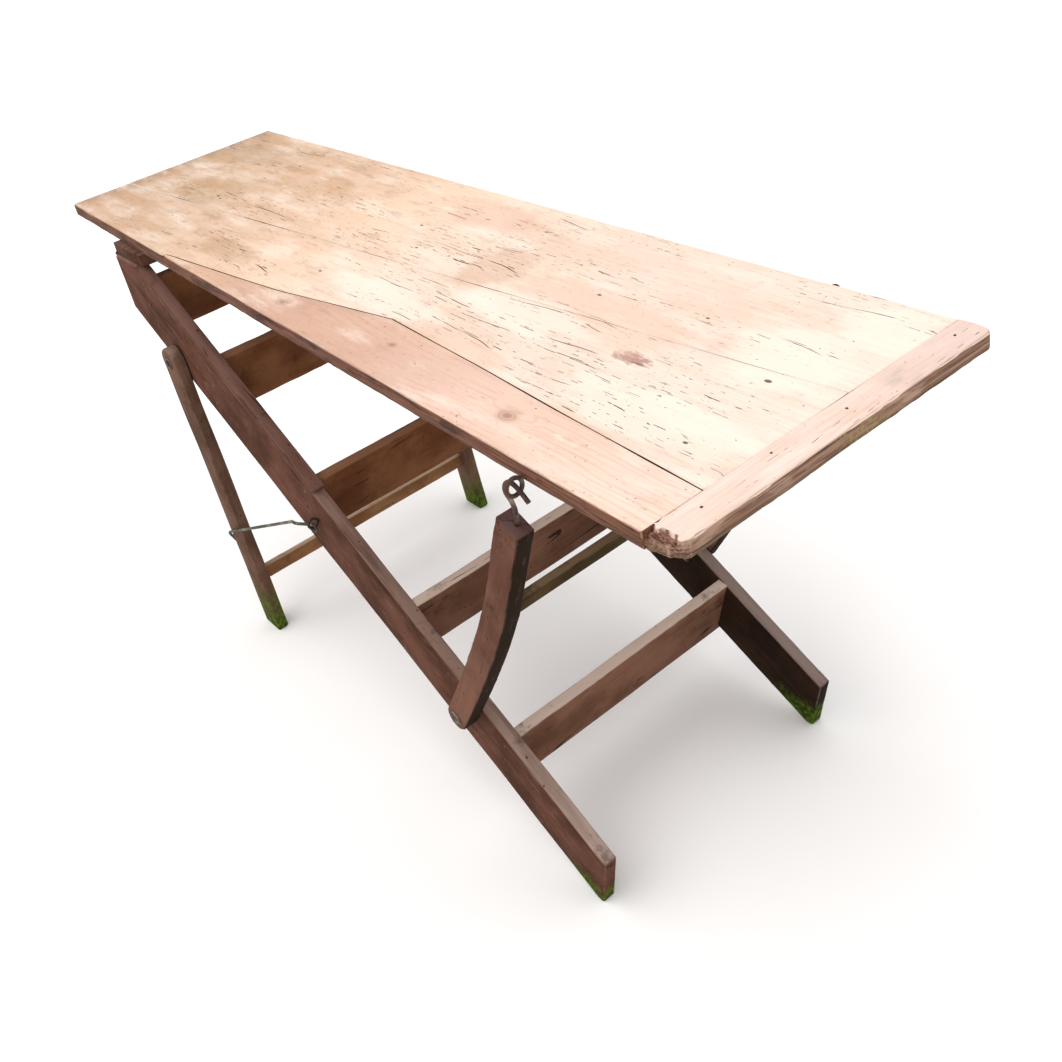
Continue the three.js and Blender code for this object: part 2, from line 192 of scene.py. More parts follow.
# wood finishes
def hairlines(finish, at, along, across, rows):
    # thin open checks, each row of them broken into dashes of its own
    bend = finish.noise(at, (3, 14, 14), 2)
    jitter = (finish.noise(at, (45, 160, 160), 2) - 0.5) * 0.0012
    lines = None
    for gap, width, dash, seed in rows:
        count = (across + jitter) / gap + bend * 3 + seed
        row = finish.node("ShaderNodeMath", {"operation": "FLOOR"}, {0: count})
        off = (count - row - 0.5).abs() * gap
        spot = finish.node("ShaderNodeCombineXYZ", {}, {0: along * dash, 1: row * 3.71 + seed, 2: seed})
        share = finish.band(finish.noise(spot, (1, 1, 1), 2), 0.54, 0.62)
        line = finish.band(off - share * width, -width * 0.5, 0.0, 1, 0) * share
        lines = line if lines is None else lines.most(line)
    return lines


def woodGrain(finish, turn, shift, spec, knots=()):
    # streaks, growth lines and open checks, all running along the piece
    at = finish.place(turn, shift)
    along, across, through = finish.parts(at)
    sway = finish.noise(at, (1.3, 6, 6), 2)
    streak = finish.noise(at, (9, 330, 330), 4, 0.6)
    broad = finish.noise(at, (3, 48, 48), 3)
    swing = (sway - 0.5) * spec["sway"]
    swing = swing + (finish.noise(at, (4, 26, 26), 2) - 0.5) * spec["sway"] * 0.35
    for px, py, r in knots:
        # growth lines swell round a knot
        dx, dy = (along - shift[0] - px) / (r * 7), (across - shift[1] - py) / (r * 2.6)
        swing = swing + finish.band(dx * dx + dy * dy, 0.0, 1.0, 2.2, 0.0)
    turns = (across * spec["rings"] + through * spec["rings"] * 0.6 + swing) * math.tau
    rings = finish.node("ShaderNodeMath", {"operation": "SINE"}, {0: turns})
    late = finish.band(rings, 0.2, 1.0) * finish.band(broad, 0.36, 0.6)
    lines = hairlines(finish, at, along, across + through * 0.7, spec["rows"])
    gather = finish.band(finish.noise(at, spec["gatherStretch"], 2), *spec["gather"])
    return {
        "at": at,
        "streak": streak,
        "broad": broad,
        "late": late,
        "lines": lines,
        "gather": gather,
        "checks": lines * gather,
    }


topFinish = {
    "length": 1.7,
    "shifts": {"far": (0, 0, 0), "middle": (0.37, 0.21, 0), "wedge": (0.9, -0.33, 0)},
    "tones": [
        (0.0, tint("#c6ab95")),
        (0.15, tint("#d0b59e")),
        (0.28, tint("#d8baa2")),
        (0.4, tint("#e6cab2")),
        (0.52, tint("#e8d3c1")),
        (0.66, tint("#e2cdbc")),
        (0.82, tint("#e7d5c7")),
        (1.0, tint("#e8dacd")),
    ],
    "wedgeTones": [
        (0.0, tint("#cfb199")),
        (0.3, tint("#d2ae96")),
        (0.5, tint("#caa38f")),
        (0.62, tint("#cba592")),
        (0.75, tint("#e0beae")),
        (0.9, tint("#e9cdbd")),
    ],
    "pink": tint("#dcb9a4"),
    "pale": tint("#eee2d5"),
    "golden": tint("#b58c66"),
    "dust": tint("#9f8268"),
    "late": tint("#b58b70"),
    "check": tint("#3d2e25"),
    "speck": tint("#3d2a1f"),
    "grime": tint("#8f7763"),
    "rubbed": tint("#a98168"),
    "knotRim": tint("#a67c66"),
    "knotRing": tint("#7f5a48"),
    "knotHeart": tint("#8d6552"),
    # colours of the plank sides: partly their own dirt, partly painted shade
    "edge": (tint("#4c2f22"), tint("#7c5341"), tint("#2f1d15")),
    # (x, y) of the start of the painted highlight along the middle-to-far joint, and its rise per metre
    "seam": (-0.821, -0.098, 0.0946),
    "grain": {
        "rings": 95,
        "sway": 9.0,
        # (metres between rows, half width, dashes per metre, seed)
        "rows": [(0.0115, 0.00075, 34, 0.3), (0.021, 0.0009, 10, 5.7), (0.0077, 0.0005, 62, 9.1)],
        "gatherStretch": (4.5, 16, 16),
        "gather": (0.5, 0.6),
    },
    # (x, y, half length, half width) in metres
    "checkGroups": [
        (0.06, -0.05, 0.2, 0.04),
        (0.57, -0.12, 0.2, 0.035),
        (0.1, 0.06, 0.18, 0.05),
        (-0.31, 0.08, 0.2, 0.04),
        (0.36, -0.07, 0.24, 0.05),
        (-0.08, 0.0, 0.16, 0.04),
        (0.64, -0.04, 0.14, 0.03),
        (-0.45, -0.02, 0.16, 0.04),
        (0.25, 0.12, 0.24, 0.035),
    ],
    # (x, y, radius) in metres
    "darkKnots": [
        (0.714, 0.026, 0.0038),
        (-0.077, -0.106, 0.0024),
        (-0.076, 0.084, 0.0024),
        (-0.007, 0.027, 0.0022),
        (0.374, 0.07, 0.0026),
        (0.548, 0.099, 0.0022),
        (0.727, -0.118, 0.0026),
        (-0.578, -0.035, 0.003),
    ],
    "knots": [(-0.032, -0.198, 0.008), (0.516, -0.198, 0.009), (0.238, -0.178, 0.005)],
    # (x, y, half length, half width, colour, strength)
    "stains": [
        (0.541, -0.024, 0.045, 0.018, "#9c6a5e", 0.75),
        (0.173, 0.052, 0.08, 0.1, "#c9a189", 0.45),
        (-0.62, -0.03, 0.14, 0.08, "#ab8964", 0.4),
        (-0.72, 0.12, 0.14, 0.06, "#a58769", 0.35),
        (-0.45, 0.1, 0.16, 0.06, "#bd936d", 0.35),
        (-0.31, -0.15, 0.12, 0.04, "#ae8a64", 0.4),
        (0.0, 0.17, 0.2, 0.06, "#cfa08c", 0.35),
        (0.4, 0.02, 0.25, 0.1, "#dfbca8", 0.5),
        (0.3, -0.13, 0.2, 0.04, "#dab49e", 0.4),
    ],
    "bleached": [
        (0.76, 0.19, 0.1, 0.07),
        (0.7, 0.08, 0.12, 0.1),
        (0.32, -0.02, 0.2, 0.06),
        (0.1, -0.1, 0.2, 0.05),
        (0.66, -0.1, 0.2, 0.07),
    ],
}


def topWood(spec, plank):
    finish = Finish("scrubbed_pine_" + plank)
    wedge = plank == "wedge"
    knots = spec["knots"] if wedge else ()
    grain = woodGrain(finish, (0, 0, 0), spec["shifts"][plank], spec["grain"], knots)
    here = finish.place()
    x, y, _ = finish.parts(here)
    colour = finish.ramp((x + spec["length"] / 2) / spec["length"], spec["wedgeTones" if wedge else "tones"])
    patch = finish.noise(here, (4.5, 10, 10), 4)
    colour = finish.mix(finish.band(patch, 0.44, 0.66) * 0.45, colour, spec["pink"])
    cloud = finish.noise(finish.place((0, 0, 0), (3, 1, 0)), (7, 20, 20), 5, 0.62)
    leftward = finish.band(x, -0.8, 0.05, 1, 0)
    colour = finish.mix(finish.band(cloud, 0.46, 0.62) * leftward * 0.5, colour, spec["golden"])
    colour = finish.mix(finish.band(cloud, 0.5, 0.32) * 0.45, colour, spec["pale"])
    dirt = finish.noise(finish.place((0, 0, 0), (1, 4, 0)), (16, 46, 46), 5, 0.65)
    dirty = finish.band(dirt, 0.53, 0.68) * finish.band(x, -0.6, 0.5, 0.42, 0.12)
    colour = finish.mix(dirty, colour, spec["dust"])
    colour = finish.mix(finish.band(grain["streak"], 0.4, 0.75) * 0.14, colour, spec["late"])
    colour = finish.mix(grain["late"] * (0.2 if wedge else 0.09), colour, spec["late"])
    for px, py, r in knots:
        dx, dy = (x - px) / (r * 1.5), (y - py) / r
        away = dx * dx + dy * dy
        ring = finish.band((away - 0.8).abs(), 0.0, 0.35, 0.3, 0.0) * finish.band(patch, 0.35, 0.6)
        colour = finish.mix(finish.band(away, 0.1, 3.2, 0.35, 0.0), colour, spec["knotRim"])
        colour = finish.mix(ring, colour, spec["knotRing"])
        colour = finish.mix(finish.band(away, 0.05, 0.5, 0.55, 0.0), colour, spec["knotHeart"])
    fray = finish.noise(finish.place((0, 0, 0), (5, 3, 0)), (18, 46, 46), 5, 0.65)
    crumble = finish.noise(here, (70, 170, 170), 4, 0.65)
    grime = finish.band(x, -0.77, -0.85) * finish.band(fray, 0.35, 0.6)
    colour = finish.mix(grime * 0.55, colour, spec["grime"])
    for px, py, rx, ry, shade, strength in spec["stains"]:
        # the small stains have finer rims
        near = finish.spot(x, y, (px, py), (rx, ry))
        ragged = near * 0.55 + fray * 0.9 if rx > 0.06 else near * 0.4 + crumble * 1.1
        colour = finish.mix(finish.band(ragged, 0.62, 0.95) * strength, colour, tint(shade))
    drift = finish.noise(finish.place((0, 0, 0), (9, 2, 0)), (9, 30, 30), 5, 0.65)
    for px, py, rx, ry in spec["bleached"]:
        near = finish.spot(x, y, (px, py), (rx, ry))
        colour = finish.mix(finish.band(near * 0.5 + drift, 0.62, 0.95) * 0.6, colour, spec["pale"])
    groups = grain["gather"] * 0.35
    for px, py, rx, ry in spec["checkGroups"]:
        groups = groups.most(finish.spot(x, y, (px, py), (rx, ry)))
    checks = grain["lines"] * finish.band(groups + (cloud - 0.5), 0.15, 0.4)
    checks = checks * (0.35 if wedge else 1.0)
    specks = finish.band(finish.noise(grain["at"], (150, 330, 330), 1), 0.76, 0.8)
    for px, py, r in spec["darkKnots"]:
        specks = specks.most(finish.spot(x, y, (px, py), (r * 1.7, r), 0.35))
    up = finish.band(finish.facing()[2], 0.3, 0.9)
    gaping = checks * up * finish.band(grain["broad"], 0.3, 0.55, 0.45, 0.92)
    colour = finish.mix(gaping, colour, spec["check"])
    colour = finish.mix(specks * 0.85 * up, colour, spec["speck"])
    # painted highlight: a pale line along the joint between the middle and far planks
    seamX, seamY, rise = spec["seam"]
    seam = (y - (seamY + rise * (x - seamX))).abs()
    pale = finish.band(seam, 0.0006, 0.003, 0.5, 0.0) * finish.band(x, -0.75, -0.3, 1, 0)
    colour = finish.mix(pale, colour, spec["pale"])
    # the sawn and worn edges are darker and redder than the scrubbed face: partly their own weathering and
    # dirt, partly painted shade on every face that does not face up
    deep, light, stain = spec["edge"]
    side = finish.mix(finish.band(grain["streak"], 0.3, 0.7), deep, light)
    side = finish.mix(finish.band(finish.noise(here, (16, 40, 60), 4, 0.6), 0.5, 0.66) * 0.7, side, stain)
    colour = finish.mix(1 - up, colour, side)
    rub = finish.mark("worn") * finish.band(finish.noise(here, (30, 60, 60), 3), 0.42, 0.6)
    colour = finish.mix(rub * 0.6, colour, spec["rubbed"])
    rough = 0.62 + grain["streak"] * 0.25 + checks * 0.1
    height = grain["streak"] * 0.4 - checks * 2.4 - specks * 1.2 - grain["late"] * 0.2 + patch * 0.8
    return finish.close(colour, rough, height, strength=0.45, depth=0.0012)


breadFinish = {
    "tones": [
        (0.0, tint("#d6b5a4")),
        (0.35, tint("#e2c7b9")),
        (0.6, tint("#e9d1c5")),
        (1.0, tint("#f0dfd5")),
    ],
    "mauve": tint("#d6c0b8"),
    "late": tint("#b58c77"),
    "check": tint("#57402f"),
    "speck": tint("#6b4c3c"),
    "rubbed": tint("#c2a08c"),
    "raw": (tint("#573a2e"), tint("#a67c69")),
    # (x, y, half length, half width)
    "smudge": (0.828, 0.113, 0.03, 0.03),
    "smudged": tint("#9a8d80"),
    # (y, half width)
    "lichen": (0.02, 0.012),
    "lichened": tint("#8a8a3f"),
    "edge": (tint("#6b4b3a"), tint("#a07f6c"), tint("#33241b")),
    "edgePale": tint("#b89d88"),
    # painted shade for the lower part of the sides
    "edgeLowShade": tint("#4a3a26"),
    "grain": {
        "rings": 110,
        "sway": 5.0,
        "rows": [(0.013, 0.00045, 40, 0.3), (0.021, 0.0006, 25, 5.7)],
        "gatherStretch": (5, 18, 18),
        "gather": (0.5, 0.58),
    },
}


def breadWood(spec):
    finish = Finish("scrubbed_pine_end")
    grain = woodGrain(finish, (0, 0, -math.pi / 2), (0, 0, 0), spec["grain"])
    here = finish.place()
    x, y, z = finish.parts(here)
    patch = finish.noise(here, (34, 11, 11), 5, 0.62)
    colour = finish.ramp(patch * 1.4 - 0.2, spec["tones"])
    colour = finish.mix(finish.band(y, 0.02, 0.24) * 0.6, colour, spec["mauve"])
    colour = finish.mix(finish.band(grain["streak"], 0.4, 0.75) * 0.22, colour, spec["late"])
    colour = finish.mix(grain["late"] * 0.12, colour, spec["late"])
    px, py, rx, ry = spec["smudge"]
    smudge = finish.spot(x, y, (px, py), (rx, ry)) * finish.band(patch, 0.35, 0.6)
    colour = finish.mix(smudge * 0.6, colour, spec["smudged"])
    up = finish.band(finish.facing()[2], 0.35, 0.9)
    colour = finish.mix(grain["checks"] * up * 0.8, colour, spec["check"])
    specks = finish.band(finish.noise(grain["at"], (150, 330, 330), 1), 0.73, 0.78)
    colour = finish.mix(specks * 0.7 * up, colour, spec["speck"])
    split = finish.band(finish.noise(here, (60, 11, 480), 4, 0.6), 0.57, 0.66)
    deep, light, stain = spec["edge"]
    side = finish.mix(finish.band(grain["streak"], 0.3, 0.7), deep, light)
    pale = finish.band(finish.noise(here, (9, 14, 60), 4, 0.6), 0.54, 0.7)
    side = finish.mix(pale * 0.5, side, spec["edgePale"])
    # painted shade: the sides darker towards the bottom
    side = finish.mix(finish.band(z, 0.783, 0.774) * 0.55, side, spec["edgeLowShade"])
    side = finish.mix(split * 0.75, side, stain)
    place, wide = spec["lichen"]
    growth = finish.band(finish.noise(here, (160, 160, 160), 3), 0.5, 0.6)
    growth = growth * finish.band((y - place).abs(), wide, wide * 5, 1, 0)
    side = finish.mix(growth * 0.75, side, spec["lichened"])
    colour = finish.mix(1 - up, colour, side)
    broken = finish.mark("broken")
    crumbs = finish.noise(here, (60, 300, 300), 4, 0.65)
    raw = finish.mix(finish.band(crumbs, 0.38, 0.6), *spec["raw"])
    colour = finish.mix(finish.band(broken, 0.35, 0.65), colour, raw)
    colour = finish.mix(finish.mark("worn") * finish.band(patch, 0.4, 0.6) * 0.5, colour, spec["rubbed"])
    height = grain["streak"] * 0.7 - grain["checks"] * 1.5 - split * (1 - up) * 1.6
    height = height + patch * 0.6 + broken * crumbs * 3
    return finish.close(colour, 0.68 + grain["streak"] * 0.22, height, strength=0.55, depth=0.0014)


darkFinish = {
    "hole": tint("#140c08"),
    "moss": (tint("#2c3a0f"), tint("#567319")),
    "grain": {
        "rings": 85,
        "sway": 5.0,
        "rows": [(0.013, 0.0007, 12, 0.3), (0.021, 0.0010, 7, 5.7)],
        "gatherStretch": (3, 16, 16),
        "gather": (0.5, 0.58),
    },
}


def frameWood(spec, name, turn, shades, shift, lit, bloom, streaky=0.5, moss=0.0, shade=None, lowTop=None):
    # weathered softwood in four shades: deep, mid, light, top face; the side shades are darkened as painted
    # shade besides the wood's own weathering, so the lighter top face is partly painted light shade is a
    # painted shade on the side that faces the free end, lowTop lightens the top face near the floor
    finish = Finish(name)
    grain = woodGrain(finish, turn, shift, spec["grain"])
    here = finish.place()
    z = finish.parts(here)[2]
    deep, mid, light, face = [tint(s) for s in shades]
    patch = finish.noise(here, (9, 9, 9), 5, 0.6)
    colour = finish.mix(finish.band(patch, 0.36, 0.64), mid, light)
    smear = finish.noise(grain["at"], (5, 26, 26), 5, 0.6)
    colour = finish.mix(finish.band(smear, 0.5, 0.72) * 0.9 * streaky, colour, deep)
    colour = finish.mix(finish.band(grain["streak"], 0.45, 0.75) * 0.55 * streaky, colour, deep)
    colour = finish.mix(grain["late"] * 0.25 * streaky, colour, deep)
    colour = finish.mix(finish.band(grain["broad"], 0.52, 0.72) * 0.3, colour, light)
    towards, _, above = finish.facing()
    up = finish.band(above, 0.25, 0.85)
    # painted shade: the side facing the free end, away from the key lamp, darker
    if shade:
        colour = finish.mix(finish.band(towards, 0.3, 0.7) * (1 - up) * 0.95, colour, tint(shade))
    # top faces lighter than the sides: partly their weathered grey, partly painted light
    dustAndLight = finish.band(finish.noise(grain["at"], (6, 46, 46), 4, 0.6), 0.35, 0.6)
    colour = finish.mix(up * (lit + dustAndLight * (1 - lit)), colour, face)
    if lowTop:
        colour = finish.mix(up * finish.band(z, 0.3, 0.08) * (0.6 + dustAndLight * 0.35), colour, tint(lowTop))
    scuff = finish.band(finish.noise(grain["at"], (26, 130, 130), 5, 0.65), 0.57, 0.68)
    colour = finish.mix(scuff * bloom, colour, face)
    rubbed = finish.band(finish.noise(grain["at"], (7, 34, 34), 5, 0.7), 0.56, 0.72)
    colour = finish.mix(rubbed * bloom * 1.2, colour, light)
    stain = finish.band(finish.noise(here, (14, 14, 14), 5, 0.7), 0.58, 0.7)
    colour = finish.mix(stain * 0.55, colour, deep)
    holes = finish.band(finish.noise(finish.place((0, 0, 0), (5, 5, 5)), (130, 130, 130), 1), 0.745, 0.775)
    colour = finish.mix((grain["checks"] * 0.85).most(holes * 0.8), colour, spec["hole"])
    rub = finish.mark("worn") * finish.band(finish.noise(here, (34, 34, 34), 3), 0.42, 0.62)
    colour = finish.mix(rub * 0.45, colour, face)
    if moss:
        dark, green = spec["moss"]
        damp = finish.band(z + (patch - 0.5) * 0.14, 0.0, moss, 1, 0)
        tuft = finish.band(finish.noise(here, (120, 120, 120), 4), 0.4, 0.62)
        colour = finish.mix(damp * 0.85, colour, dark)
        colour = finish.mix(damp * tuft * 0.8, colour, green)
    height = grain["streak"] * 0.9 - grain["late"] * 0.3 - grain["checks"] * 2.2 - holes * 1.5 + patch * 0.6
    return finish.close(colour, 0.75 + grain["streak"] * 0.2, height, strength=0.6, depth=0.0014, gloss=0.06)


def rustIron(name, tones, bright):
    finish = Finish(name)
    at = finish.place()
    scale = finish.noise(at, (240, 240, 240), 4, 0.65)
    blotch = finish.noise(at, (70, 70, 70), 3)
    dark, mid, rust, shiny = [tint(t) for t in tones]
    colour = finish.mix(finish.band(blotch, 0.35, 0.62), dark, mid)
    colour = finish.mix(finish.band(scale, 0.5, 0.7) * 0.6, colour, rust)
    shine = finish.band(finish.noise(at, (40, 40, 40), 2), 0.5, 0.68) * bright
    colour = finish.mix(shine, colour, shiny)
    rough = 0.62 - shine * 0.3 + scale * 0.15
    height = scale + blotch * 0.5
    metal = 0.35 + shine * 0.5
    return finish.close(colour, rough, height, strength=0.7, depth=0.0006, metallic=metal, gloss=0.5)


# the way each member runs, seen from the side
railAngle = -math.atan(0.5687)
legAngle = math.atan2(0.586, -0.04)
strutAngle = math.radians(61)
crosswise = (0, 0, -math.pi / 2)
frameLooks = {
    "railNear": {
        "name": "dark_rail",
        "turn": (0, railAngle, 0),
        "shades": ("#28160f", "#482c1f", "#674336", "#846a5f"),
        "shift": (0, 0, 0),
        "lit": 0.4,
        "bloom": 0.3,
        "moss": 0.04,
        "lowTop": "#b29c91",
    },
    # the far rail: a darker copy of the rail look, partly its weathered black wood, partly painted shade
    "railFar": {
        "name": "dark_rail_far_shaded",
        "turn": (0, railAngle, 0),
        "shades": ("#0f0805", "#22160d", "#342217", "#85736c"),
        "shift": (2, 1, 0),
        "lit": 0.8,
        "bloom": 0.02,
        "moss": 0.05,
    },
    "strip": {
        "name": "dark_strip",
        "turn": (0, railAngle, 0),
        "shades": ("#2b1912", "#4d3026", "#68453a", "#7a5a50"),
        "shift": (1, 3, 0),
        "lit": 0.5,
        "bloom": 0.2,
    },
    "board": {
        "name": "tan_board",
        "turn": crosswise,
        "shades": ("#3c2518", "#624331", "#7b5745", "#c2ada0"),
        "shift": (0, 2, 1),
        "lit": 0.9,
        "bloom": 0.05,
        "streaky": 0.22,
    },
    # a darker copy of the board look, with darker top faces, for the three boards under the top: painted
    # shade
    "upperBoard": {
        "name": "brown_board_shaded",
        "turn": crosswise,
        "shades": ("#3a2113", "#643c24", "#815638", "#88624a"),
        "shift": (0, 5, 1),
        "lit": 0.6,
        "bloom": 0.04,
        "streaky": 0.25,
    },
    "batten": {
        "name": "dark_batten",
        "turn": crosswise,
        "shades": ("#20130d", "#452b20", "#5d3d30", "#70554a"),
        "shift": (4, 2, 1),
        "lit": 0.3,
        "bloom": 0.1,
    },
    "leg": {
        "name": "dark_leg",
        "turn": (0, legAngle, 0),
        "shades": ("#2f2018", "#553c2f", "#705445", "#867064"),
        "shift": (3, 2, 1),
        "lit": 0.5,
        "bloom": 0.28,
        "streaky": 0.4,
        "moss": 0.12,
    },
    "strut": {
        "name": "dark_strut",
        "turn": (0, strutAngle, 0),
        "shades": ("#352119", "#5e3e31", "#765344", "#5f4846"),
        "shift": (7, 2, 1),
        "lit": 0.95,
        "bloom": 0.34,
        "streaky": 0.4,
        # painted shade on the side facing the free end
        "shade": "#1b1409",
    },
    "legBar": {
        "name": "tan_bar",
        "turn": crosswise,
        "shades": ("#4d321d", "#754f33", "#8a6445", "#b89d84"),
        "shift": (2, 7, 1),
        "lit": 0.8,
        "bloom": 0.08,
        "streaky": 0.3,
    },
    "strutBar": {
        "name": "olive_bar",
        "turn": crosswise,
        "shades": ("#171208", "#352712", "#4a381f", "#75604a"),
        "shift": (2, 9, 1),
        "lit": 0.7,
        "bloom": 0.05,
        "streaky": 0.3,
    },
}
rustTones = ("#2c201a", "#4d352a", "#6e4834", "#a89a8c")
ironLooks = {
    "iron": {"name": "rusty_iron", "tones": rustTones, "bright": 0.25},
    "rod": {"name": "grey_rod", "tones": ("#25281c", "#444636", "#5c5a48", "#a3a596"), "bright": 0.45},
    "rubbedIron": {"name": "rubbed_iron", "tones": rustTones, "bright": 0.6},
}
looks = {plank: topWood(topFinish, plank) for plank in ("middle", "far", "wedge")}
looks["bread"] = breadWood(breadFinish)
looks |= {key: frameWood(darkFinish, **spec) for key, spec in frameLooks.items()}
looks |= {key: rustIron(**spec) for key, spec in ironLooks.items()}
print("finishes made")


# building tools
weld = 2e-5  # points closer than this are one


def edgeLoops(edges):
    left, loops = dict.fromkeys(edges), []
    while left:
        stack, loop = [left.popitem()[0]], []
        while stack:
            edge = stack.pop()
            loop.append(edge)
            for vert in edge.verts:
                for other in vert.link_edges:
                    if other in left:
                        del left[other]
                        stack.append(other)
        loops.append(loop)
    return loops


def rimLength(rim):
    return sum(e.calc_length() for e in rim)


def slabFrom(node, axis, outer):
    # one face with the node's outline, drawn through its thickness, without bores and housings
    low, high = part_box(node)
    level = (high if outer > 0 else low)[axis]
    thick = (low if outer > 0 else high)[axis] - level
    bm = bmesh.new()
    bm.from_mesh(nodes[node].data)
    bmesh.ops.remove_doubles(bm, verts=bm.verts, dist=weld)
    away = [f for f in bm.faces if any(abs(v.co[axis] - level) > 1e-5 for v in f.verts)]
    bmesh.ops.delete(bm, geom=away, context="FACES")
    rims = sorted(edgeLoops([e for e in bm.edges if e.is_boundary]), key=rimLength)
    for rim in rims[:-1]:
        bmesh.ops.holes_fill(bm, edges=rim, sides=0)
    bmesh.ops.dissolve_faces(bm, faces=bm.faces)
    bmesh.ops.dissolve_limit(bm, angle_limit=math.radians(0.5), verts=bm.verts, edges=bm.edges)
    grown = bmesh.ops.extrude_face_region(bm, geom=bm.faces[:], use_keep_orig=True)
    push = Vector((0, 0, 0))
    push[axis] = thick
    moved = [g for g in grown["geom"] if isinstance(g, bmesh.types.BMVert)]
    bmesh.ops.translate(bm, verts=moved, vec=push)
    bmesh.ops.recalc_face_normals(bm, faces=bm.faces)
    return bm


def soften(bm, width, chosen=None, segments=2, least=25):
    # rounds the sharp edges and marks the line along their middle as worn
    layer = bm.verts.layers.float.get("worn") or bm.verts.layers.float.new("worn")
    sharp = [e for e in bm.edges if len(e.link_faces) == 2 and e.calc_face_angle(0) > math.radians(least)]
    if chosen:
        sharp = [e for e in sharp if chosen(e)]
    cut = bmesh.ops.bevel(
        bm,
        geom=sharp,
        offset=width,
        offset_type="OFFSET",
        segments=segments,
        profile=0.5,
        affect="EDGES",
        clamp_overlap=True,
        material=-1,
    )
    fresh = set(cut["faces"])
    for vert in cut["verts"]:
        if all(f in fresh for f in vert.link_faces):
            vert[layer] = 1.0


def slices(bm, way, step):
    # cuts right through, a step apart, so that the piece has points to wear away
    way = Vector(way).normalized()
    spans = [v.co.dot(way) for v in bm.verts]
    low, high = min(spans), max(spans)
    for i in range(1, int((high - low) / step) + 1):
        at = low + i * step
        if at < high - 1e-4:
            whole = bm.verts[:] + bm.edges[:] + bm.faces[:]
            bmesh.ops.bisect_plane(bm, geom=whole, dist=1e-6, plane_co=way * at, plane_no=way)


def weather(bm, spec, seed):
    # dents and nicks along the worn edges and a slight wander everywhere
    layer = bm.verts.layers.float["worn"]
    bm.normal_update()
    for vert in bm.verts:
        spot = vert.co + Vector((seed, seed * 0.7, seed * 0.3))
        wander = noise.noise_vector(spot * 9) * spec["bend"]
        dent = max(0.0, noise.noise(spot * 55) + 0.15) * spec["dent"]
        nick = max(0.0, noise.noise(spot * 23) - 0.35) * spec["nick"]
        vert.co += wander - vert.normal * (dent + nick) * vert[layer]


def finishPiece(bm, name, look, body, stands=(), smooth=38, subdivide=0):
    bmesh.ops.triangulate(bm, faces=[f for f in bm.faces if len(f.verts) > 4])
    mesh = bpy.data.meshes.new(name)
    bm.to_mesh(mesh)
    bm.free()
    mesh.polygons.foreach_set("use_smooth", [True] * len(mesh.polygons))
    mesh.set_sharp_from_angle(angle=math.radians(smooth))
    mesh.materials.append(looks[look])
    piece = bpy.data.objects.new(name, mesh)
    bpy.context.scene.collection.objects.link(piece)
    if subdivide:
        modifier = piece.modifiers.new("round", "SUBSURF")
        modifier.levels = modifier.render_levels = subdivide
    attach(piece, body)
    if stands:
        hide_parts(*stands)


# planks of the top
plankShape = {
    "edge": 0.0022,
    "joint": 0.0005,
    "along": 0.016,
    "across": 0.022,
    "dent": 0.0011,
    "nick": 0.0035,
    "bend": 0.0006,
}
topPlan = {"length": 1.7, "end": 0.85, "half": 0.215, "flare": 0.041, "near": 0.0035}


def outside(point):
    half = topPlan["half"] + topPlan["flare"] * (point.x + topPlan["end"]) / topPlan["length"]
    return min(abs(abs(point.y) - half), abs(abs(point.x) - topPlan["end"])) < topPlan["near"]


def outerEdge(edge):
    # edges on the outside of the whole top, not along a joint
    return all(outside(vert.co) for vert in edge.verts)


def makePlank(node, look, seed, spec):
    bm = slabFrom(node, 2, 1)
    soften(bm, spec["edge"], outerEdge, 3)
    soften(bm, spec["joint"], lambda e: not outerEdge(e), 1, 60)
    slices(bm, (1, 0, 0), spec["along"])
    slices(bm, (0, 1, 0), spec["across"])
    weather(bm, spec, seed)
    finishPiece(bm, node + "_wood", look, "top", (node,))


makePlank("top_near_wedge", "wedge", 0.3, plankShape)
makePlank("top_middle_plank", "middle", 1.1, plankShape)
makePlank("top_far_plank", "far", 2.4, plankShape)

breadShape = {
    "edge": 0.003,
    "along": 0.007,
    "across": 0.006,
    "through": 0.0055,
    "dent": 0.0022,
    "nick": 0.006,
    "bend": 0.0008,
    "seed": 4.2,
    "joint": 0.806,
    "corner": -0.215,
    "chip": (0.823, -0.262),
    "chipReach": (0.034, 0.024),
    "chipDeep": 0.0125,
}


def clamped(value):
    return max(0.0, min(1.0, value))


def chipShare(point, spec):
    # 1 where the near corner is broken away, 0 where it is whole
    dx = (point.x - spec["chip"][0]) / spec["chipReach"][0]
    dy = (point.y - spec["chip"][1]) / spec["chipReach"][1]
    ragged = noise.noise(Vector((point.x * 190, point.y * 60, 7))) * 0.5 + noise.noise(point * 31) * 0.3
    return clamped((1.0 - dx * dx * 0.7 - dy * dy + ragged) * 9)


